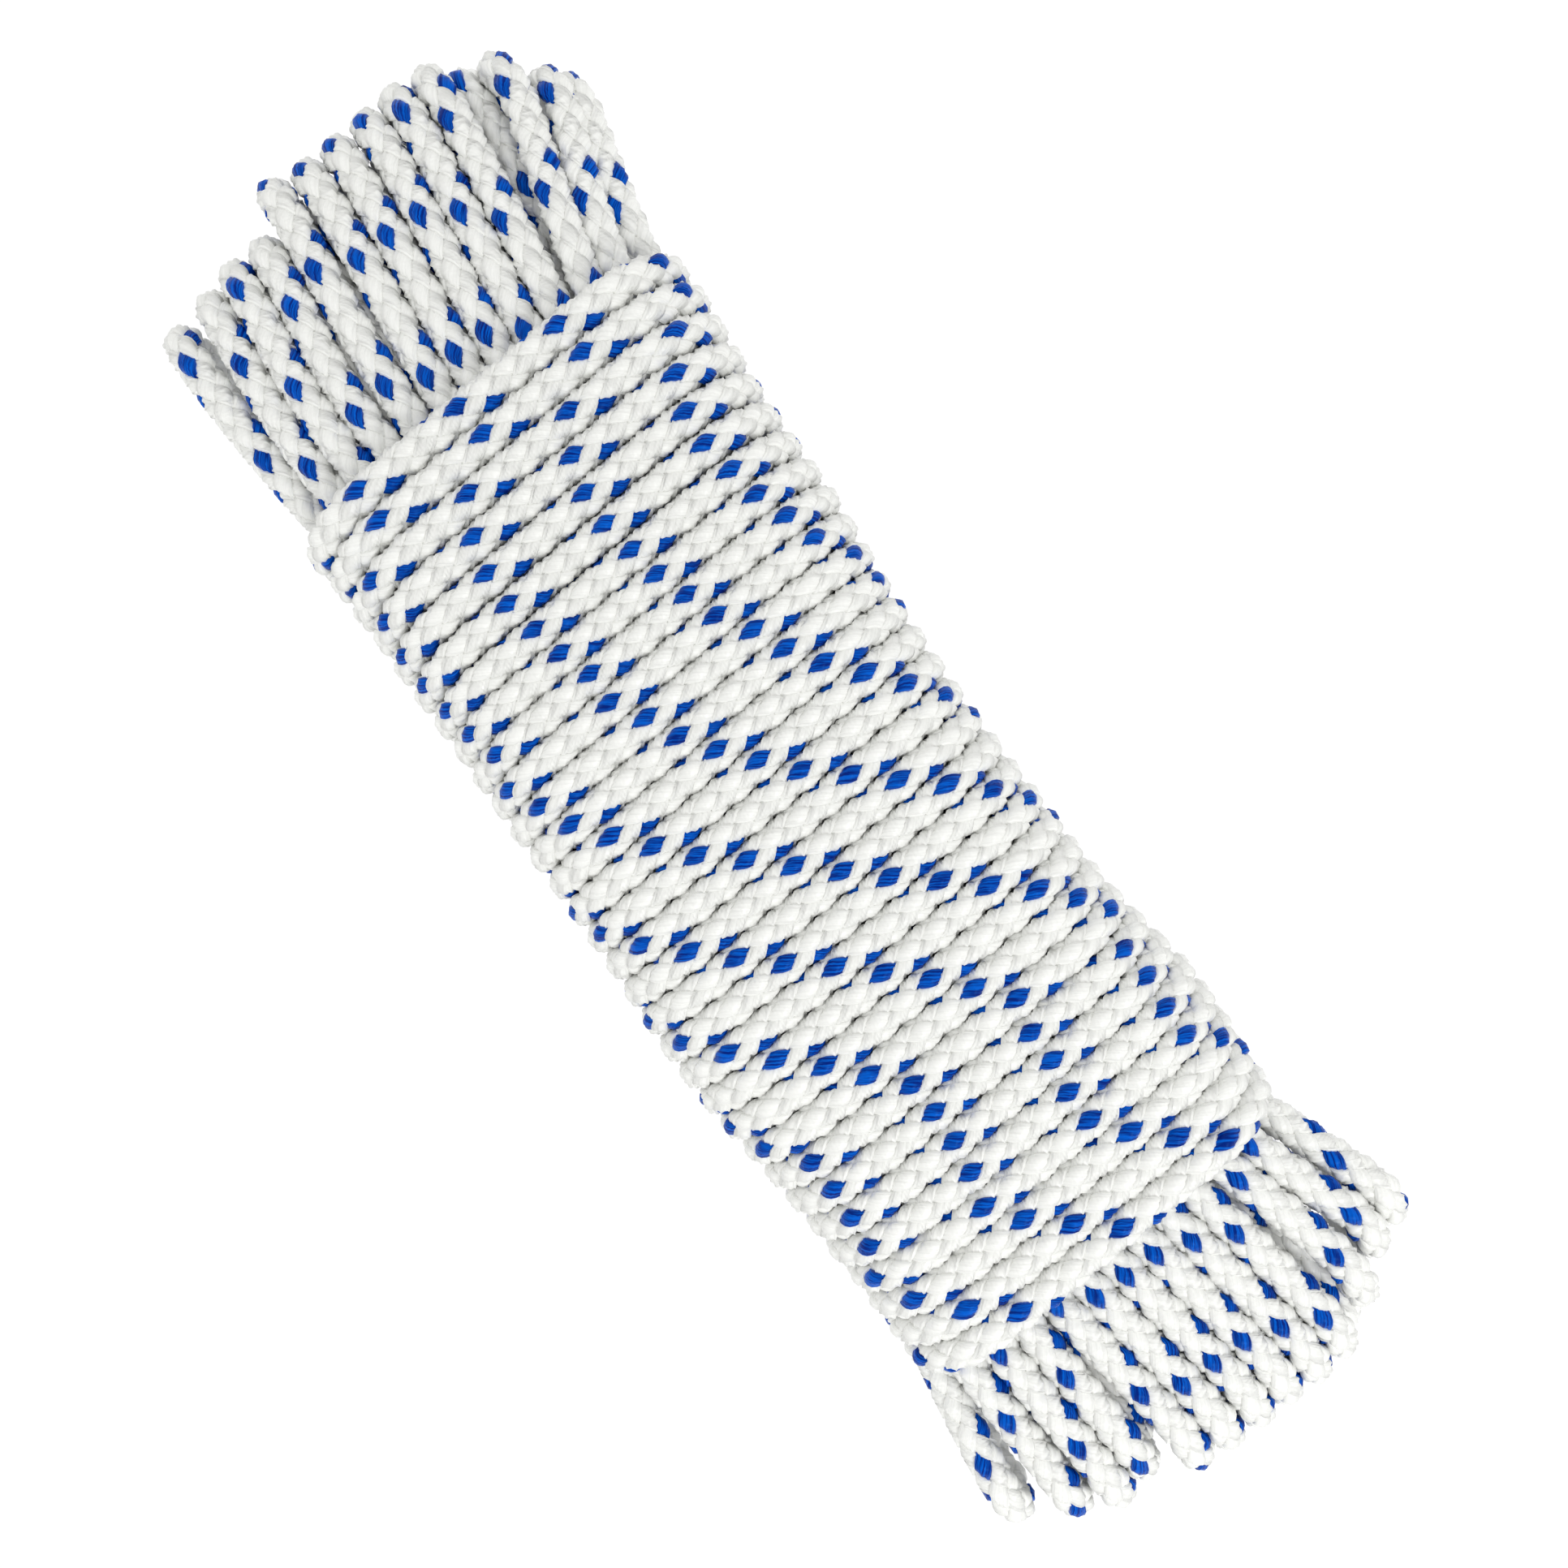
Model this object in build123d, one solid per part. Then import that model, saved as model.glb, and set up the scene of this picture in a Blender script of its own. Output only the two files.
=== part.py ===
from build123d import *
import os
from math import radians, sqrt, tan, pi

# A hank of braided dock line. The rope is wound end over end in three layers of flat
# loops, one layer around the other, and the same rope is then wrapped tightly round the
# middle of the loops. The wrap's flat underside rests on the floor, and the bights, the
# bends at the two ends, stand one rope clear of it.
# Millimetres. +X runs along the hank towards the end where the wrap finishes, +Z is up.

# The rope, and what its end looks like.
rope_diameter = 8.0
seal_length = 3.5            # heat-sealed tip on each end of the rope
seal_pocket_clearance = 0.2  # round the starting end, among the first loops

# The bundle of lengthwise loops.
hank_length = 394.0
waist_width = 98.0           # inside the wrap
end_width = 132.0            # where the bights fan out
fan_round = 24.0             # from a fan's widest place to the tips of its bights
end_corner_radius = 34.0     # of the fan's outline, seen from above
layer_names = ["first_loops", "second_loops", "outer_loops"]  # each lies around the last

# The wrap.
wrap_turns = 31
wrap_pitch = 8.22
wrap_offset = 6.2            # from the hank's middle towards +X

# The finishing end: a short tail on the floor, under the bights at +X. Its points are
# measured from the wrap's end face, along X and Y.
tail_points = [(0, -13), (12, -13), (24, -10), (35, -5), (45, 2)]

# The starting end, in the first layer.
start_x = -60.0
start_y = 28.0

layers = len(layer_names)
# Ropes of one layer lie in the grooves of the layer inside it.
layer_step = rope_diameter * sqrt(3) / 2
bundle_thickness = rope_diameter + 2 * (layers - 1) * layer_step
middle_z = rope_diameter + bundle_thickness / 2
wrap_length = wrap_turns * wrap_pitch
wrap_start = wrap_offset - wrap_length / 2
wrap_end = wrap_offset + wrap_length / 2


def cross_section(x, width, thickness):
    """Flat oval across the hank at x, centred at the bundle's middle height."""
    return Plane(origin=(x, 0, middle_z), x_dir=(0, 1, 0), z_dir=(1, 0, 0)) * SlotOverall(width, thickness)


def loop_prism(inset):
    """What lies inside a loop that runs end over end, inset from the outermost loops."""
    outline = SlotOverall(hank_length - 2 * inset, bundle_thickness - 2 * inset)
    side_plane = Plane(origin=(0, 0, middle_z), x_dir=(1, 0, 0), z_dir=(0, -1, 0))
    return extrude(side_plane * outline, amount=end_width, both=True)


def loop_bundle():
    """All the loops as one body: a waist inside the wrap, fanned out at both ends."""
    past_tip = hank_length / 2 + rope_diameter
    fan_x = hank_length / 2 - fan_round
    stations = [
        (-past_tip, end_width),
        (-fan_x, end_width),
        (wrap_start, waist_width),
        (wrap_end, waist_width),
        (fan_x, end_width),
        (past_tip, end_width),
    ]
    body = loft([cross_section(x, width, bundle_thickness) for x, width in stations], ruled=True)
    outline = RectangleRounded(hank_length, end_width + rope_diameter, end_corner_radius)
    from_above = extrude(outline, amount=middle_z + bundle_thickness)
    return body & from_above & loop_prism(0)


def layer_bodies(bundle):
    """One body for each layer of loops, the first and innermost one first."""
    cuts = [loop_prism((layers - 1 - layer) * layer_step) for layer in range(layers)]
    bodies = [bundle & cuts[0]]
    for layer in range(1, layers):
        bodies.append((bundle & cuts[layer]) - cuts[layer - 1])
    return bodies


def wrap_sleeve():
    """The wrap's turns as one sleeve, closed on the waist of the bundle."""
    outer = cross_section(wrap_start, waist_width + 2 * rope_diameter, bundle_thickness + 2 * rope_diameter)
    inner = cross_section(wrap_start, waist_width, bundle_thickness)
    return extrude(outer - inner, amount=wrap_length)


def tail_path():
    """Straight runs joined by arcs as large as the shorter run at each corner allows."""
    points = [Vector(wrap_end + x, y, rope_diameter / 2) for x, y in tail_points]
    runs = [b - a for a, b in zip(points, points[1:])]
    radii = []
    for before, after in zip(runs, runs[1:]):
        half_turn = radians(before.get_angle(after) / 2)
        radii.append(0.45 * min(before.length, after.length) / tan(half_turn))
    print("tail arc radii, mm:", [round(radius, 1) for radius in radii])
    return FilletPolyline(*points, radius=radii)


def sealed_tip(place):
    """A melted rope end: a short cylinder with a rounded rim, from place along its Z."""
    tip = place * Cylinder(rope_diameter / 2, seal_length, align=(Align.CENTER, Align.CENTER, Align.MIN))
    rim = tip.edges().filter_by(GeomType.CIRCLE).sort_by(Axis(place.position, place.z_axis.direction))[-1]
    return fillet(rim, seal_length / 2)


nodes = {}

for name, body in zip(layer_names, layer_bodies(loop_bundle())):
    nodes[name] = body

# The rope's starting end lies among the first loops, in a space of its own.
start_place = Location((start_x, start_y, middle_z), (0, -90, 0))
start_room = Box(
    seal_length + seal_pocket_clearance,
    rope_diameter + 2 * seal_pocket_clearance,
    2 * rope_diameter,
    align=(Align.MAX, Align.CENTER, Align.CENTER),
)
nodes["first_loops"] -= Pos(start_x, start_y, middle_z) * start_room
nodes["start_seal"] = sealed_tip(start_place)

nodes["wrap_turns"] = wrap_sleeve()

path = tail_path()
tail_section = Plane(origin=path @ 0, z_dir=path % 0) * Circle(rope_diameter / 2)
tail = sweep(tail_section, path=path)
expected_volume = pi * rope_diameter ** 2 / 4 * path.length
print("tail length, mm:", round(path.length, 1), " volume over section times length:",
      round(tail.volume / expected_volume, 4))
nodes["finish_tail"] = tail
nodes["finish_seal"] = sealed_tip(Plane(origin=path @ 1, z_dir=path % 1).location)

os.makedirs("parts", exist_ok=True)
for name, shape in nodes.items():
    shape.label = name
    export_step(shape, os.path.join("parts", name + ".step"))
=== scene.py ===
"""A hank of braided dock line: flat loops wound end over end, and the same rope wrapped
tightly round their middle. White eight-strand plain braid with one blue tracer."""

import bpy
import numpy as np
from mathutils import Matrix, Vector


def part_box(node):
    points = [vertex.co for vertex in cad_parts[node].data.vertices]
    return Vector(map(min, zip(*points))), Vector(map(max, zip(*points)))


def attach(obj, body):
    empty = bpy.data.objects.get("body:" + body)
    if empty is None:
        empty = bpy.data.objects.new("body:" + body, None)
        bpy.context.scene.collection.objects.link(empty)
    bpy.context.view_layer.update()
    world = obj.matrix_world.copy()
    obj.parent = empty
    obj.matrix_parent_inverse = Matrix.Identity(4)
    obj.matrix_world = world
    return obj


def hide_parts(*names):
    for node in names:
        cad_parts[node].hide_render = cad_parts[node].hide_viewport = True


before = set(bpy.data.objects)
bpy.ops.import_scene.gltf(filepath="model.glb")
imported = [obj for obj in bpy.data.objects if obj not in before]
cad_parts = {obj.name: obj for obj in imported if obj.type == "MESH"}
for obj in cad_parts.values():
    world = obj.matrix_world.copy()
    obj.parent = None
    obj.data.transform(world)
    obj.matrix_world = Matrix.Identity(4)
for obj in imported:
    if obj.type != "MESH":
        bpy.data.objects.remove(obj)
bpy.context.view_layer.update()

# ---- The rope, and where the hank's middle is ---------------------------------------
# One braided line, 8 mm thick. Everything about its route is counted in rope diameters
# from the middle of the wrap's height, above the centre of the hank.
ROPE = 0.008
wrap_low, wrap_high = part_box("wrap_turns")
MIDDLE = np.array([0.0, 0.0, (wrap_low.z + wrap_high.z) / 2])
HALF_THICK = (wrap_high.z - MIDDLE[2]) / ROPE    # from the middle to the wrap's crest
HALF_WIDE = wrap_high.y / ROPE


def in_metres(points):
    """Route points, in rope diameters from the middle, as places in the frame."""
    return MIDDLE + ROPE * np.asarray(points, float)


# ---- Camera -------------------------------------------------------------------------
# Straight above the hank, close enough for the wrap's sides to fall away, and turned so
# that the hank lies along a diagonal, its finishing end at the lower right.
VIEW_TURN = np.arctan2(0.806, 0.592)
VIEW_HEIGHT = 40.0
VIEW_CENTRE = (-0.2, 0.34)
LENS_MM = 29.1

camera_data = bpy.data.cameras.new("camera")
camera_data.lens = LENS_MM
camera_data.sensor_width = 36.0
camera_data.clip_end = 20.0
camera = bpy.data.objects.new("camera", camera_data)
bpy.context.scene.collection.objects.link(camera)
camera.location = in_metres([*VIEW_CENTRE, VIEW_HEIGHT])
camera.rotation_euler = (0.0, 0.0, VIEW_TURN)
bpy.context.scene.camera = camera

# ---- Route of the rope --------------------------------------------------------------
# The rope starts in the first layer, which lies flat and goes to and fro, then winds two
# layers of loops round it, and ends in the wrap and a short tail. Only the wrap holds the
# hank together. Ropes of one layer lie in the grooves of the layer inside it.
LAYER_STEP = np.sqrt(3) / 2
WRAP_RADIUS = HALF_THICK - 0.5                   # of the wrap's centreline, at its sides
FLAT = HALF_WIDE - 0.5 - WRAP_RADIUS             # half of the wrap's flat stretch
SIDE_PITCH = 1.04                                # between the runs of one layer
EDGES = (-14.7, 16.2)                            # where the runs leave the wrap
WAIST = np.array([-12.0, -7.0, -2.0, 3.0, 8.0, 13.0])
FAN_STEPS = np.array([0.0, 0.33, 0.68, 1.0])     # from the wrap's edge to the bight
BEND_STEPS = 8                                   # points on each half turn
# A curve of this kind passes inside its corners; this puts it back on the bend.
OUTSIDE = 8 / (6 + 2 * np.cos(np.pi / BEND_STEPS))


def smooth_step(u):
    """From 0 to 1 as u does, level at both ends: three u squared less two u cubed."""
    return u * u * (3 - 2 * u)


def oval(v, radius):
    """A place round a flat oval, v diameters from the middle of its top towards +Y: two
    flats of FLAT either side of the middle, joined by half circles of that radius."""
    v = np.asarray(v, float)
    side, v = np.sign(v), np.abs(v)
    turn = np.clip((v - FLAT) / radius, 0, np.pi)
    back = np.clip(v - FLAT - np.pi * radius, 0, None)
    y = side * (np.minimum(v, FLAT) - back + radius * np.sin(turn))
    return np.stack([y, radius * np.cos(turn)], -1)


route = []


def add(points):
    """Carries the rope's route on through these points."""
    route.extend(np.asarray(points, float).tolist())


def fan(edge, waist, bight, tip_radius, bow):
    """Points of a run from the wrap's edge out to its bight: seen from above, straight
    from one to the other but for a bow towards -Y, and in height by a smooth step."""
    start = np.array([edge, *waist])
    tip_x = np.sign(edge) * (bight[0] - tip_radius)
    end = np.array([tip_x, bight[1], np.sign(waist[1]) * tip_radius])
    points = start + (end - start) * FAN_STEPS[:, None]
    points[:, 1] -= bow * np.sin(np.pi * FAN_STEPS)
    points[:, 2] = start[2] + (end[2] - start[2]) * smooth_step(FAN_STEPS)
    return points


def bight_points(side, bight, tip_radius):
    """The bight itself, at bight = (x, y): a half circle of tip_radius, standing up, that
    goes up at -X and down at +X."""
    turn = side * np.pi * (0.5 - np.arange(1, BEND_STEPS) / BEND_STEPS)
    x = side * (bight[0] - tip_radius + OUTSIDE * tip_radius * np.cos(turn))
    z = OUTSIDE * tip_radius * np.sin(turn)
    return np.stack([x, np.full_like(x, bight[1]), z], -1)


def loop(waist, edge_y, bottom_in, near, far, tip_radius, bows=(0, 0)):
    """One loop: up round the bight at -X, along the top, down round the bight at +X and
    back along the bottom, where it moves over to the next loop's place, bottom_in. waist
    is its (y, z) inside the wrap, and edge_y and bows are for -X and +X, as near and far
    are."""
    y, z = waist
    for side, bight, edge, across, bow in zip((-1, 1), (near, far), EDGES, edge_y, bows):
        add(fan(edge, (across, side * z), bight, tip_radius, bow))
        add(bight_points(side, bight, tip_radius))
        add(fan(edge, (across, -side * z), bight, tip_radius, bow)[::-1])
        if side < 0:
            add([[x, y, z] for x in WAIST])
    over = smooth_step(np.linspace(1, 0, len(WAIST)))[:, None]
    add(np.hstack([WAIST[::-1, None], bottom_in + (np.array([y, -z]) - bottom_in) * over]))


# First layer: eight runs side by side at the middle height, with a round bight on each.
FIRST_Y = SIDE_PITCH * np.arange(3.5, -4, -1)
FIRST_TIP = 22.0
FIRST_BEND = 0.95
FIRST_SPREAD = 1.42                              # by which the bights lie wider than the runs
FIRST_OUT = 18.6                                 # where a run is halfway over to its bight
FIRST_IN = 11.0                                  # where it is still straight, in the wrap
FIRST_WAIST = (-4.0, 3.0)                        # and nearer the middle, the way it goes
FIRST_LEAVES = [-10.0, FIRST_Y[-1] - 0.2, -0.1]  # where it goes down to the second layer
start_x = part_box("start_seal")[1].x / ROPE
add([[x, FIRST_Y[0], 0.0] for x in (start_x, *FIRST_WAIST)])
for run, (y, y_next) in enumerate(zip(FIRST_Y, FIRST_Y[1:])):
    side = 1 if run % 2 == 0 else -1
    edge = EDGES[1] if side > 0 else EDGES[0]
    middle = FIRST_SPREAD * (y + y_next) / 2
    turn = np.pi * (0.5 - np.arange(0, BEND_STEPS + 1) / BEND_STEPS)
    bend_x = side * (FIRST_TIP - FIRST_BEND + OUTSIDE * FIRST_BEND * np.cos(turn))
    bend_y = middle + OUTSIDE * FIRST_BEND * np.sin(turn)
    out_y, back_y = (y + bend_y[0]) / 2, (y_next + bend_y[-1]) / 2
    add([[side * FIRST_IN, y, 0.0], [edge, y, 0.0], [side * FIRST_OUT, out_y, 0.0]])
    add(np.stack([bend_x, bend_y, 0 * bend_x], -1))
    add([[side * FIRST_OUT, back_y, 0.0], [edge, y_next, 0.0], [side * FIRST_IN, y_next, 0.0]])
    add([[-side * x, y_next, 0.0] for x in FIRST_WAIST])
add([FIRST_LEAVES])

# Second layer: ten loops from -Y to +Y, each round the first layer. The bights reach less
# far, and are less tall, by the square of how far they are to the side.
SECOND_RADIUS = WRAP_RADIUS - 1 - LAYER_STEP
SECOND_TIP, SECOND_TIP_LESS = 23.2, 0.07
SECOND_BEND, SECOND_BEND_LESS = 0.95, 0.016
SECOND_SPREAD = 1.08
SECOND_LAST = ((23.8, 5.2), (23.5, 4.7))         # the last loop's two bights, which show
second_start = len(route)
second_places = oval(SIDE_PITCH * np.arange(-4.5, 5), SECOND_RADIUS)
last = len(second_places) - 1
for j, (y, z) in enumerate(second_places):
    y_in, z_in = second_places[min(j + 1, last)]
    bight = (SECOND_TIP - SECOND_TIP_LESS * y * y, SECOND_SPREAD * y)
    near, far = SECOND_LAST if j == last else (bight, bight)
    tip_radius = SECOND_BEND - SECOND_BEND_LESS * y * y
    loop((y, z), (y, y), np.array([y_in, -z_in]), near, far, tip_radius)

# Outer layer: thirteen loops from +Y to -Y. How far each bight reaches and where it
# lies across the fan, at -X and at +X, is as uneven as hand winding leaves it.
OUTER_RADIUS = WRAP_RADIUS - 1
NEAR_BIGHTS = [(21.7, 7.62), (22.2, 7.2), (23.4, 6.2), (24.3, 4.3), (24.4, 3.15),
               (24.3, 2.0), (24.2, 0.8), (24.15, -0.36), (24.3, -1.57), (23.0, -2.84),
               (22.95, -4.0), (22.65, -5.15), (22.4, -6.6)]
FAR_BIGHTS = [(21.65, 7.7), (22.1, 6.65), (23.05, 5.45), (23.95, 4.0), (24.1, 2.9),
              (24.1, 1.8), (24.15, 0.7), (24.15, -0.45), (24.1, -1.57), (23.35, -3.1),
              (23.6, -4.2), (23.1, -5.45), (22.2, -7.05)]
NEAR_BOWS = [0.1, 0.3, 0.1, 0, 0, 0, 0, 0, 0.15, 0.3, 0.25, 0.2, 0.1]
FAR_BOWS = [0, 0.15, -0.05, 0, 0, 0, 0, 0, 0, 0, 0, 0, 0.05]
PLACES = range(6, -7, -1)                        # round the bundle, 0 on top
LOW_FROM, LOWER_BY = 4, 0.25                     # past this place each bight is less tall
OUTER_PITCH = (2 * FLAT + np.pi * OUTER_RADIUS) / len(PLACES)
FAN_PITCH = 1.07                                 # between runs as they leave the wrap
EDGE_SHIFT = np.array([-0.08, -0.28])            # of those runs, at -X and +X
EDGE_SPAN = (-6.35, 6.25)                        # y of the outermost of them
LAST_BOTTOM = (-5.4, 1.35)                       # the last loop's y and depth, underneath
outer_start = len(route)
outer_starts = []
for place, near, far, *bows in zip(PLACES, NEAR_BIGHTS, FAR_BIGHTS, NEAR_BOWS, FAR_BOWS):
    outer_starts.append(len(route))
    waist = oval(OUTER_PITCH * place, OUTER_RADIUS)
    # The runs end where the next loop starts, and the last one goes off under the bundle.
    next_place = oval(OUTER_PITCH * (place - 1), OUTER_RADIUS)
    y_in, z_in = next_place if place > PLACES[-1] else LAST_BOTTOM
    tip_radius = OUTER_RADIUS - LOWER_BY * max(0, abs(place) - LOW_FROM)
    edge_y = np.clip(FAN_PITCH * place + EDGE_SHIFT, *EDGE_SPAN)
    loop(waist, edge_y, np.array([y_in, -z_in]), near, far, tip_radius, bows)

# From the last loop the rope dips under the bundle at -X and turns into the wrap.
DIP = [[-14.0, -5.7, -1.35], [-15.2, -6.2, -1.6], [-16.2, -6.35, -1.95], [-17.0, -6.0, -2.4],
       [-17.4, -5.0, -2.7], [-17.2, -3.7, -2.74], [-16.5, -2.5, -2.74], [-15.8, -1.0, -2.74]]
wrap_start = len(route)
add(DIP)

# The wrap: the first turns lie a little apart. Each goes over the top from +Y to -Y
# and moves along the hank on the top rather than underneath.
TURNS = 31
TURN_AT = [(0, -15.75), (1, -14.64), (7, -8.2), (TURNS, 16.18), (TURNS + 1, 17.15)]
FIRST_TURN, LAST_TURN = 0.53, TURNS + 0.39       # where it begins and ends, underneath
LEAN = 0.133                                     # by which it leads at -Y and lags at +Y
# Along the hank, how wide the wrap is, of its usual width, and how far the hank curves.
GIRTH_AT = [(-15.5, 1.02), (-14.7, 1.06), (-13.5, 1.04), (-11, 1.02), (-6, 1.015), (-2, 0.99),
            (1, 0.985), (5, 1.005), (9, 0.995), (12, 1.015), (16, 0.99)]
CURVE_AT = [(-15.5, 0), (-13, -0.02), (-9.5, -0.15), (-6.5, -0.17), (-3.5, -0.36), (0, -0.45),
            (4, -0.54), (7, -0.48), (9.5, -0.21), (11.5, 0.02), (13.5, 0.08), (16, 0)]
round_wrap = 4 * FLAT + 2 * np.pi * WRAP_RADIUS
side_arc = FLAT + np.pi * WRAP_RADIUS * np.arange(1, BEND_STEPS) / BEND_STEPS
underneath = [FLAT + np.pi * WRAP_RADIUS, round_wrap / 2 - FLAT / 3]
half_turn = np.concatenate([[FLAT / 3, FLAT], side_arc, underneath])
one_turn = np.concatenate([half_turn, round_wrap - half_turn[::-1]])
# How far round, from where turn 0 would cross the top.
travel = (np.arange(0, TURNS + 1)[:, None] * round_wrap + one_turn[None, :]).ravel()
travel = travel[(travel > FIRST_TURN * round_wrap) & (travel < LAST_TURN * round_wrap)]
place = oval((-travel + round_wrap / 2) % round_wrap - round_wrap / 2, WRAP_RADIUS)
bent = np.abs(place[:, 1]) < WRAP_RADIUS - 1e-6
past_flat = np.abs(place[bent, 0]) - FLAT
place[bent, 0] = np.sign(place[bent, 0]) * (FLAT + OUTSIDE * past_flat)
place[bent, 1] *= OUTSIDE
lean = LEAN * np.sin(2 * np.pi * travel / round_wrap)
along = np.interp(travel / round_wrap, *np.array(TURN_AT).T) + lean
place[:, 0] *= np.interp(along, *np.array(GIRTH_AT).T)
turns_start = len(route)
add(np.column_stack([along, place]))

# The tail: the last turn leaves the wrap underneath and lies on the floor, under the
# bights. These are the points of the tail's own route, in millimetres from the wrap's
# end face.
TAIL = [(0, -13), (12, -13), (24, -10), (35, -5), (45, 2)]
MILLIMETRE = 0.001
tail_z = 0.5 - MIDDLE[2] / ROPE
tail_start = len(route)
wrap_end = wrap_high.x / ROPE
add([[wrap_end - 0.2, -3.3, tail_z]])
add([[wrap_end + MILLIMETRE * x / ROPE, MILLIMETRE * y / ROPE, tail_z] for x, y in TAIL])

route = np.array(route)
route[:, 1] += np.interp(route[:, 0], *np.array(CURVE_AT).T)

curve = bpy.data.curves.new("rope_route", "CURVE")
curve.dimensions = "3D"
spline = curve.splines.new("NURBS")
spline.points.add(len(route) - 1)
weighted = np.column_stack([in_metres(route), np.ones(len(route))])
spline.points.foreach_set("co", weighted.ravel())
spline.order_u = 3
spline.use_endpoint_u = True
curve.resolution_u = 8
curve_object = bpy.data.objects.new("rope_route", curve)
bpy.context.scene.collection.objects.link(curve_object)
line_mesh = bpy.data.meshes.new_from_object(curve_object)
line = np.zeros(len(line_mesh.vertices) * 3)
line_mesh.vertices.foreach_get("co", line)
line = line.reshape(-1, 3)
bpy.data.objects.remove(curve_object)
bpy.data.meshes.remove(line_mesh)

SAME_PLACE = 1e-7                                # metres
steps = np.linalg.norm(np.diff(line, axis=0), axis=1)
line = line[np.concatenate([[True], steps > SAME_PLACE])]
steps = np.linalg.norm(np.diff(line, axis=0), axis=1)
at = np.concatenate([[0], np.cumsum(steps)]) / ROPE


def along_route(index):
    """How far along the rope, in diameters, the curve passes its control point index."""
    span = (index - 0.5) / (len(route) - 2)
    return np.interp(span, np.linspace(0, 1, len(at)), at)


# ---- Braid --------------------------------------------------------------------------
# The rope is braided from eight flat strands of satin synthetic fibre, seven white and
# the tracer blue. Four turn one way round it and four the other, each over one and under
# the next, once round in PERIOD diameters. Which way the tracer faces drifts along it.
PERIOD = 3.84
# Where the tracer comes to the top: how far across on which turn of the wrap, and how
# far along on the outer runs, first near -X and then near +X, from +Y to -Y.
TRACER_ON_TURN = [(1, -0.87), (2, -0.72), (3, -2.16), (4, -2.83), (5, -3.19), (6, -3.25),
                  (8, -2.89), (10, -2.2), (12, -1.34), (13, -0.67), (15, 0.95), (18, 4.02),
                  (22, 8.1), (23, 8.95), (24, 9.66), (25, 9.73), (27, 9.37), (28, 9.41),
                  (29, 9.97), (31, 12.14)]
NEAR_TRACER = [-17.5, -18.0, -18.7, -18.8, -19.75, -20.4, -20.45, -20.4, -20.9, -20.4,
               -18.4, -20.05, -21.1]
FAR_TRACER = [19.0, 20.35, 20.9, 22.2, 21.65, 21.3, 21.3, 21.3, 20.8, 19.1, 21.0, 19.3, 20.15]
# One turn of the braid there: towards the middle it is drawn out or pushed together, and
# round the bights it is shorter.
NEAR_PERIOD = [4.1] * 9 + [3.75, 3.75, 3.65, 3.45]
FAR_PERIOD = 3.68
NEAR_BIGHT_PERIOD = 3.4
FAR_BIGHT_PERIOD = 3.45
# How far the rope is rolled about itself there, in degrees.
ROLL = 15.0
NEAR_ROLL = [40.0] * 4 + [ROLL] * 9
OVER_TOP = (8, 33)                               # a loop's route points from bight to bight
CLOSE_BY = 3                                     # diameters, of where a turn crosses the top
PAST_END = 20                                    # turns of the braid

local = (line - MIDDLE) / ROPE
anchors, rolls = [], []
for start, near_x, far_x, near_period, near_roll in zip(
        outer_starts, NEAR_TRACER, FAR_TRACER, NEAR_PERIOD, NEAR_ROLL):
    run_from, run_to = along_route(start + OVER_TOP[0]), along_route(start + OVER_TOP[1])
    run = (at > run_from) & (at < run_to) & (local[:, 2] > 0)
    near_at, far_at = np.interp([near_x, far_x], local[run, 0], at[run])
    anchors += [near_at - NEAR_BIGHT_PERIOD, near_at, near_at + near_period,
                far_at - FAR_PERIOD, far_at, far_at + FAR_BIGHT_PERIOD]
    rolls += [near_roll] * 3 + [ROLL] * 3
travel_at = along_route(turns_start + np.arange(len(travel)))
for turn in range(1, TURNS + 1):
    across = np.interp(turn, *np.array(TRACER_ON_TURN).T)
    across -= PERIOD * np.round(across / PERIOD)
    crossing = np.interp(turn * round_wrap, travel, travel_at)
    near_top = (np.abs(at - crossing) < CLOSE_BY) & (local[:, 2] > 0)
    anchors.append(np.interp(-across, -local[near_top, 1], at[near_top]))
    rolls.append(ROLL)
anchors = np.array(anchors)
count = np.concatenate([[0], np.cumsum(np.round(np.diff(anchors) / PERIOD))])
before = np.arange(anchors[0] - PERIOD, -PERIOD, -PERIOD)[::-1]
count = np.concatenate([np.arange(-len(before), 0), count, [count[-1] + PAST_END]])
rolls = np.radians([ROLL] * len(before) + rolls + [ROLL])
anchors = np.concatenate([before, anchors, [anchors[-1] + PAST_END * PERIOD]])

ways = np.gradient(line, axis=0)
ways /= np.linalg.norm(ways, axis=1)[:, None]
# Outwards, away from the bundle: square to the rope, and to the side in the loops and
# to the hank's length in the wrap. The first layer, the dip and the tail face down.
DOWN = np.array([0, 0, -1.0])
outwards = np.cross([0, -1.0, 0], ways)
down = DOWN - ways * (ways @ DOWN)[:, None]
round_it = np.cross([-1.0, 0, 0], ways)
loops_from, wrap_from = along_route(second_start - 1), along_route(wrap_start)
turns_from, tail_from = along_route(turns_start + 2), along_route(tail_start - 2)
outwards[at < loops_from] = down[at < loops_from]
outwards[at > wrap_from] = down[at > wrap_from]
in_turns = (at > turns_from) & (at < tail_from)
outwards[in_turns] = round_it[in_turns]

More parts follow.
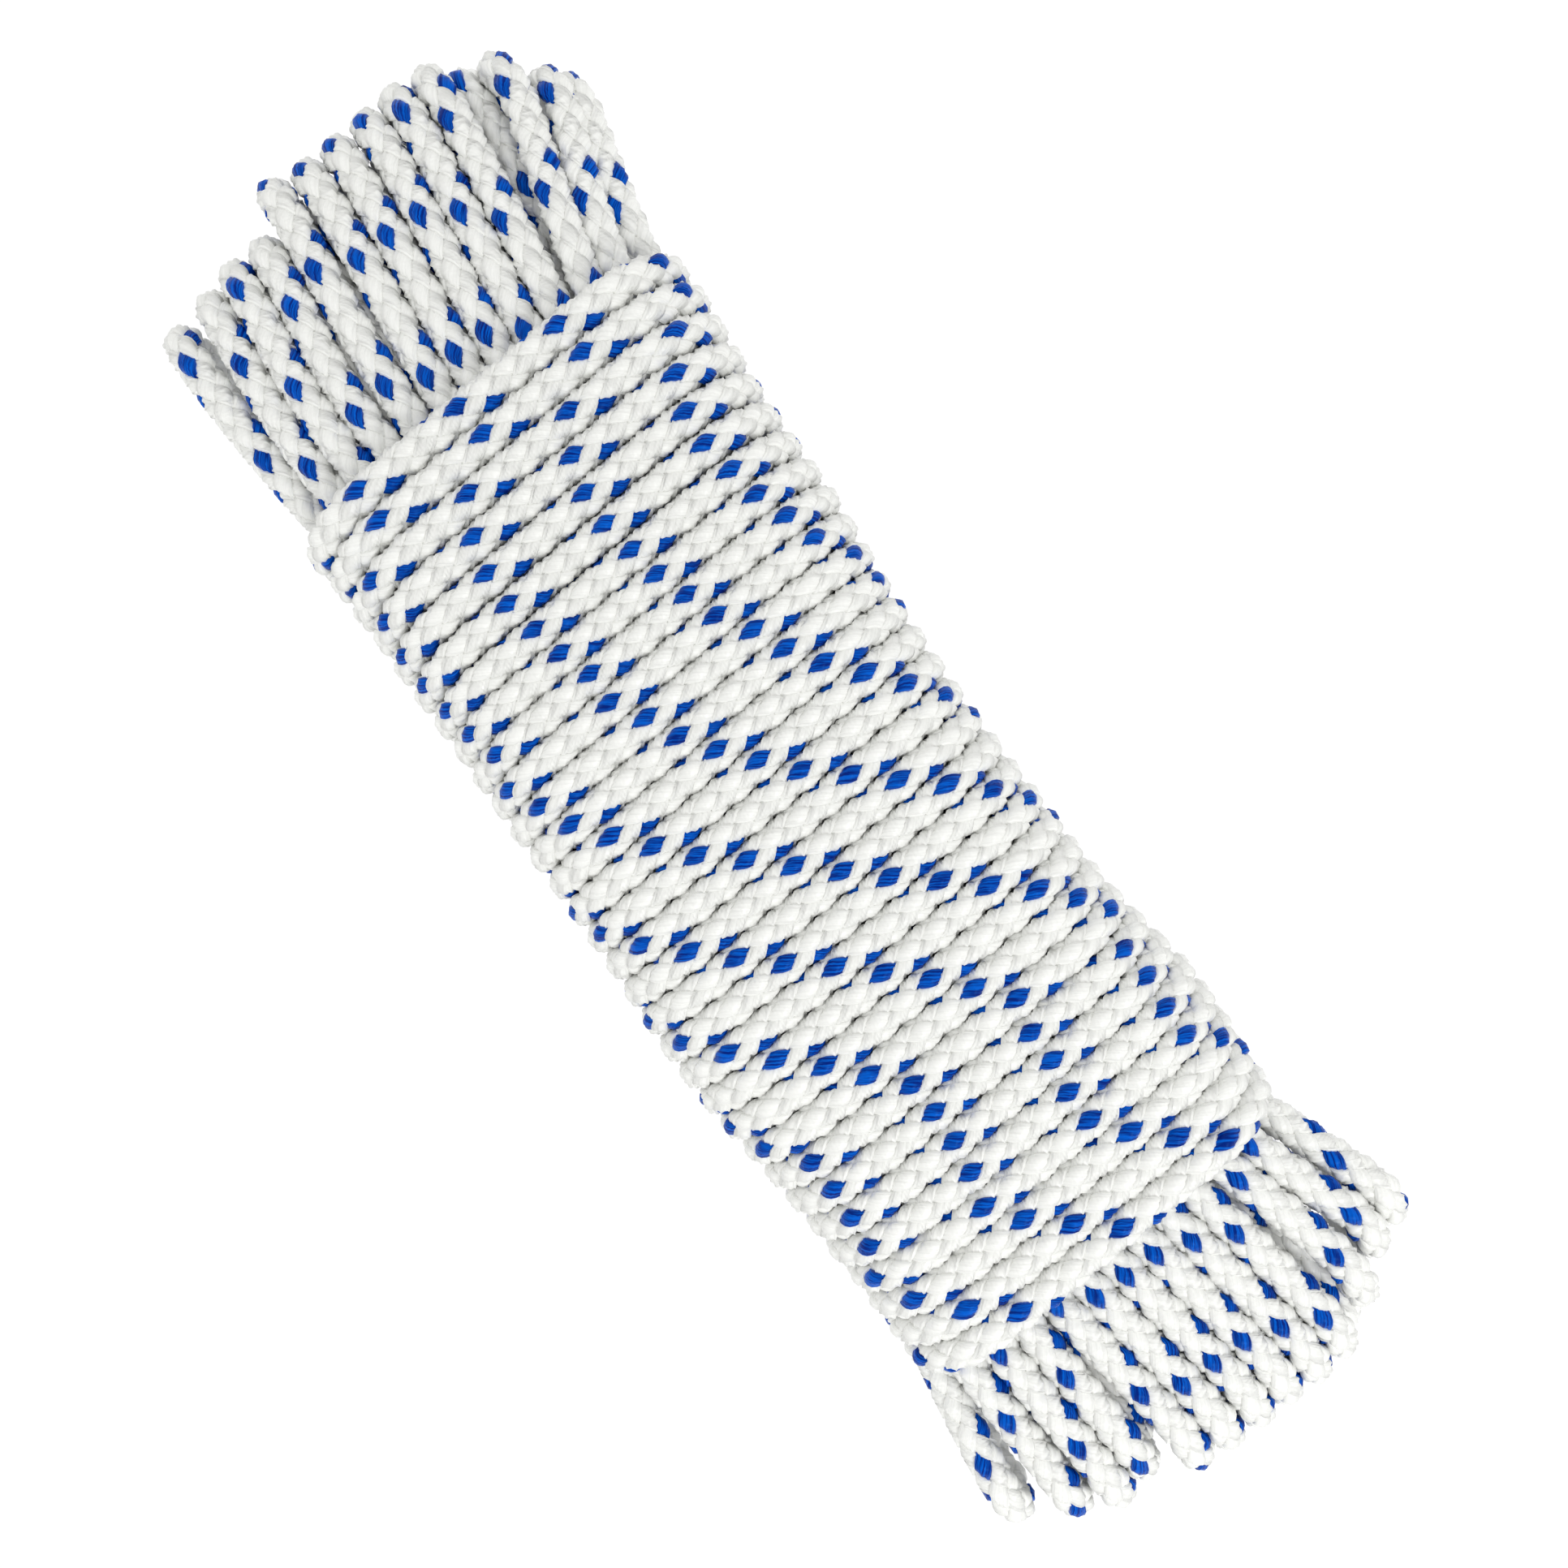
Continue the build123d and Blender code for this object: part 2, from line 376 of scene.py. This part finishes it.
# Stations along the rope: the parts that show best get the most.
FINEST = 36                                      # stations to a turn of the braid
FANS_FROM = (EDGES[0] + 0.4, EDGES[1] - 0.5)
FACES_SIDEWAYS, FACES_DOWN = -0.25, -0.8         # height of the outwards way
first_station = np.ceil(np.interp(0, anchors, count) * FINEST)
last_station = np.floor(np.interp(at[-1], anchors, count) * FINEST)
station = np.arange(first_station, last_station + 1)
station_at = np.interp(station / FINEST, count, anchors)
x_here = np.interp(station_at, at, local[:, 0])
up_here = np.interp(station_at, at, outwards[:, 2])
in_fans = (x_here < FANS_FROM[0]) | (x_here > FANS_FROM[1])
outside = ((station_at > along_route(outer_start - 3)) & in_fans) | (station_at > wrap_from)
step_outside = np.where(up_here > FACES_SIDEWAYS, 1, np.where(up_here > FACES_DOWN, 2, 4))
step_inside = np.where(in_fans & (station_at > loops_from), 2, 4)
kept = station % np.where(outside, step_outside, step_inside) == 0
station, station_at = station[kept] / FINEST, station_at[kept]


def at_stations(values):
    """Vectors given along the line, read off at the stations."""
    return np.stack([np.interp(station_at, at, values[:, k]) for k in range(3)], -1)


def unit(vectors):
    """The same vectors at unit length."""
    return vectors / np.linalg.norm(vectors, axis=1)[:, None]


centre = at_stations(line)
way, out = unit(at_stations(ways)), unit(at_stations(outwards))
out = unit(out - way * (out * way).sum(1)[:, None])
aside = np.cross(way, out)
roll = np.interp(station_at, anchors, rolls)[:, None]
x_kept = at_stations(local)[:, 0]

MID_RADIUS = 0.28                                # of a strand's middle, on average
WEAVE = 0.112                                    # how far it rises and falls from there
HALF_STRAND = 0.125                              # half its thickness
# Half a strand's width, as a share of the quarter turn between strands.
WHITE_REACH = 0.53
TRACER_REACH = 0.49
# The rope is fuller where little presses on it, in the fans and at the wrap's two ends.
wrap_fullness = np.interp(x_kept, [-15, -9, 2, 16], [1.17, 1.09, 1.13, 1.17])
loop_fullness = np.interp(np.abs(x_kept - 0.8), [13, 17], [1.04, 1.2])
fullness = np.where(station_at > wrap_from, wrap_fullness, loop_fullness)
# Round a strand: five points over its rounded top, edge to edge, and one under it.
ROUND_STRAND = np.radians([0, 45, 90, 135, 180, 270])
FLATTER = 0.8                                    # below 1, a flatter top and fuller edges
FLOOR_GAP = 0.00005                              # metres


def strand_surface(number, handed, half_width):
    """One strand: at braid phase p it lies at the angle 2 pi p from outwards, plus a
    quarter turn for each strand before it, to the right (handed 1) or left (-1). It
    rises and falls round MID_RADIUS four times a turn, over one strand and under the
    next, and its section is a flat oval bent to the rope's round. Where it lies on the
    floor it is pressed flat."""
    sideways, upwards = np.cos(ROUND_STRAND), np.sin(ROUND_STRAND)
    reach = half_width * np.sign(sideways) * np.abs(sideways) ** FLATTER
    proud = HALF_STRAND * np.sign(upwards) * np.abs(upwards) ** FLATTER
    p = station[:, None]
    angle = roll + handed * 2 * np.pi * p + (number + reach) * np.pi / 2
    wave = handed * np.cos(np.pi * (8 * p + handed * reach))
    radius = ROPE * fullness[:, None] * (MID_RADIUS + WEAVE * wave + proud)
    spoke = np.cos(angle)[..., None] * out[:, None, :] + np.sin(angle)[..., None] * aside[:, None, :]
    surface = centre[:, None, :] + radius[..., None] * spoke
    surface[..., 2] = np.maximum(surface[..., 2], FLOOR_GAP)
    return surface


def tube_mesh(name, surface, lengthwise, material):
    """A closed tube of quads over the grid of points, with a flat cap on each end. Its UV
    map runs along the tube, in rope diameters, then round it from 0 to 1."""
    rows, columns = surface.shape[:2]
    mesh = bpy.data.meshes.new(name)
    row = np.arange(rows - 1)[:, None] * columns
    here, after = np.arange(columns), (np.arange(columns) + 1) % columns
    quads = np.stack([row + here, row + after, row + columns + after, row + columns + here], -1)
    quads = quads.reshape(-1, 4)
    corners = np.concatenate([quads.ravel(), here[::-1], here + (rows - 1) * columns])
    mesh.vertices.add(rows * columns)
    mesh.vertices.foreach_set("co", surface.astype(np.float32).ravel())
    mesh.loops.add(len(corners))
    mesh.loops.foreach_set("vertex_index", corners.astype(np.int32))
    mesh.polygons.add(len(quads) + 2)
    starts = np.append(4 * np.arange(len(quads) + 1), 4 * len(quads) + columns)
    mesh.polygons.foreach_set("loop_start", starts.astype(np.int32))
    u = np.stack([lengthwise[:-1], lengthwise[:-1], lengthwise[1:], lengthwise[1:]], -1)
    u = np.broadcast_to(u[:, None], (rows - 1, columns, 4))
    v = np.broadcast_to((here[:, None] + [0, 1, 1, 0]) / columns, u.shape)
    uv = np.concatenate([np.stack([u, v], -1).reshape(-1, 2), np.zeros((2 * columns, 2))])
    mesh.uv_layers.new(name="lay").data.foreach_set("uv", uv.astype(np.float32).ravel())
    mesh.update(calc_edges=True)
    mesh.validate()
    mesh.shade_smooth()
    mesh.materials.append(material)
    piece = bpy.data.objects.new(name, mesh)
    bpy.context.scene.collection.objects.link(piece)
    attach(piece, "root")
    return piece


def fibre_material(name, colour, dark_fibre_and_shade, gloss, glint, streaks):
    """Satin multifilament: fine fibre lines along the strand, from noise drawn out along it,
    which shades from dark_fibre_and_shade to colour over the noise's range streaks. That
    shading is partly the fibre's own tone and partly painted shade and painted highlight.
    Its highlights are gloss strong and of the colour glint."""
    material = bpy.data.materials.new(name)
    material.use_nodes = True
    nodes, links = material.node_tree.nodes, material.node_tree.links
    shader = nodes["Principled BSDF"]
    shader.inputs["Roughness"].default_value = 0.32
    shader.inputs["Specular IOR Level"].default_value = gloss
    shader.inputs["Specular Tint"].default_value = (*glint, 1.0)
    shader.inputs["Anisotropic"].default_value = 0.6
    shader.inputs["Anisotropic Rotation"].default_value = 0.25
    tangent = nodes.new("ShaderNodeTangent")
    tangent.direction_type = "UV_MAP"
    tangent.uv_map = "lay"
    links.new(tangent.outputs["Tangent"], shader.inputs["Tangent"])
    uv = nodes.new("ShaderNodeUVMap")
    uv.uv_map = "lay"
    stretch = nodes.new("ShaderNodeMapping")
    stretch.inputs["Scale"].default_value = (1.4, 24.0, 1.0)
    fibres = nodes.new("ShaderNodeTexNoise")
    fibres.inputs["Scale"].default_value = 1.0
    fibres.inputs["Detail"].default_value = 3.0
    links.new(uv.outputs["UV"], stretch.inputs["Vector"])
    links.new(stretch.outputs["Vector"], fibres.inputs["Vector"])
    tone = nodes.new("ShaderNodeMix")
    tone.data_type = "RGBA"
    tone.inputs["A"].default_value = (*dark_fibre_and_shade, 1.0)
    tone.inputs["B"].default_value = (*colour, 1.0)
    spread = nodes.new("ShaderNodeMapRange")
    spread.inputs["From Min"].default_value = streaks[0]
    spread.inputs["From Max"].default_value = streaks[1]
    links.new(fibres.outputs["Fac"], spread.inputs["Value"])
    links.new(spread.outputs["Result"], tone.inputs["Factor"])
    links.new(tone.outputs["Result"], shader.inputs["Base Color"])
    bump = nodes.new("ShaderNodeBump")
    bump.inputs["Strength"].default_value = 0.55
    bump.inputs["Distance"].default_value = 0.0003
    links.new(fibres.outputs["Fac"], bump.inputs["Height"])
    links.new(bump.outputs["Normal"], shader.inputs["Normal"])
    return material


# The streaks' dark and light tones are partly the fibre's own tone and partly painted shade and
# painted highlight.
white = fibre_material("white_fibre", colour=(0.92, 0.925, 0.90), dark_fibre_and_shade=(0.84, 0.845, 0.82),
                       gloss=0.5, glint=(1.0, 1.0, 1.0), streaks=(0.3, 0.55))
# On the tracer the streaks' dark end is far darker than its colour: painted shade and painted
# highlight streaks across the blue strand, over its own fibre tone.
blue = fibre_material("blue_fibre", colour=(0.0, 0.105, 0.60), dark_fibre_and_shade=(0.0, 0.012, 0.19),
                      gloss=0.2, glint=(0.2, 0.6, 1.0), streaks=(0.4, 0.6))

for handed, hand in ((1, "right"), (-1, "left")):
    for number in range(4):
        if handed == 1 and number == 0:
            name, material, half_width = "tracer_strand", blue, TRACER_REACH
        else:
            name, material, half_width = f"{hand}_strand_{number + 1}", white, WHITE_REACH
        surface = strand_surface(number, handed, half_width)
        tube_mesh(name, surface, station_at, material)


# ---- Sealed ends --------------------------------------------------------------------
# Each end of the rope is cut hot, which melts the strands into one rounded tip. The
# starting end is buried in the first layer, and the finishing end lies on the floor.
sealed = bpy.data.materials.new("sealed_fibre")
sealed.use_nodes = True
sealed_shader = sealed.node_tree.nodes["Principled BSDF"]
sealed_shader.inputs["Base Color"].default_value = (0.55, 0.58, 0.56, 1.0)
sealed_shader.inputs["Roughness"].default_value = 0.35
# Its rings, in rope diameters: how far past the rope's end, and how wide.
TIP_DEPTH = np.array([-0.04, 0.02, 0.12, 0.24, 0.34, 0.40, 0.43])
TIP_RADIUS = np.array([0.44, 0.50, 0.505, 0.46, 0.34, 0.16, 0.01])
TIP_LUMPS = 0.04                                 # as a share of the radius
TIP_SIDES = 28


def sealed_tip(name, node, end, inner):
    """A melted tip on the rope's end, facing away from inner: rings round the rope's
    line that swell a little, as melted fibre does, and round off to a point."""
    turn = np.linspace(0, 2 * np.pi, TIP_SIDES, endpoint=False)
    forward = (end - inner) / np.linalg.norm(end - inner)
    side = np.cross(forward, [0, 0, 1.0])
    side /= np.linalg.norm(side)
    up = np.cross(side, forward)
    ring = np.cos(turn)[:, None] * side + np.sin(turn)[:, None] * up
    lumps = 1 + TIP_LUMPS * np.sin(3 * turn)[:, None] * np.sin(6 * TIP_DEPTH)[:, None, None]
    outward = TIP_RADIUS[:, None, None] * lumps * ring
    surface = end + ROPE * (outward + TIP_DEPTH[:, None, None] * forward)
    surface[..., 2] = np.maximum(surface[..., 2], FLOOR_GAP)
    piece = tube_mesh(name, surface[:, ::-1], TIP_DEPTH, sealed)
    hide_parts(node)
    return piece


tips = [
    sealed_tip("start_tip", "start_seal", line[0], line[3]),
    sealed_tip("finish_tip", "finish_seal", line[-1], line[-4]),
]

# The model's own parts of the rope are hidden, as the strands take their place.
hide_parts("first_loops", "second_loops", "outer_loops", "wrap_turns", "finish_tail")

# ---- Floor and light ----------------------------------------------------------------
# A pale floor that is lit through from below, and soft light from all round, as on a
# light table in a white tent, with one soft lamp beyond the finishing end.
FLOOR_HALF = 3
corners = [(-1, -1), (1, -1), (1, 1), (-1, 1)]
floor_mesh = bpy.data.meshes.new("floor")
floor_mesh.from_pydata([(FLOOR_HALF * x, FLOOR_HALF * y, 0) for x, y in corners], [], [(0, 1, 2, 3)])
floor = bpy.data.objects.new("floor", floor_mesh)
bpy.context.scene.collection.objects.link(floor)
glow = bpy.data.materials.new("light_table")
glow.use_nodes = True
glow_shader = glow.node_tree.nodes["Principled BSDF"]
glow_shader.inputs["Base Color"].default_value = (0.05, 0.05, 0.05, 1.0)
glow_shader.inputs["Roughness"].default_value = 1.0
glow_shader.inputs["Specular IOR Level"].default_value = 0.0
glow_shader.inputs["Emission Color"].default_value = (1.0, 1.0, 1.0, 1.0)
glow_shader.inputs["Emission Strength"].default_value = 1.0
floor_mesh.materials.append(glow)

world = bpy.data.worlds.new("tent")
world.use_nodes = True
tent = world.node_tree.nodes["Background"]
tent.inputs["Color"].default_value = (1.0, 1.0, 0.99, 1.0)
tent.inputs["Strength"].default_value = 0.93
bpy.context.scene.world = world

LAMP = np.array([0.42, -0.02, 0.50])
LAMP_AIM = np.array([0.05, 0.0, 0.03])
lamp_data = bpy.data.lights.new("lamp", "AREA")
lamp_data.size = 0.14
lamp_data.energy = 0.9
lamp = bpy.data.objects.new("lamp", lamp_data)
bpy.context.scene.collection.objects.link(lamp)
lamp.location = LAMP
back = LAMP - LAMP_AIM
tilt, swing = np.arctan2(np.hypot(back[0], back[1]), back[2]), np.arctan2(back[0], -back[1])
lamp.rotation_euler = (tilt, 0.0, swing)

bpy.context.scene.view_settings.view_transform = "Standard"
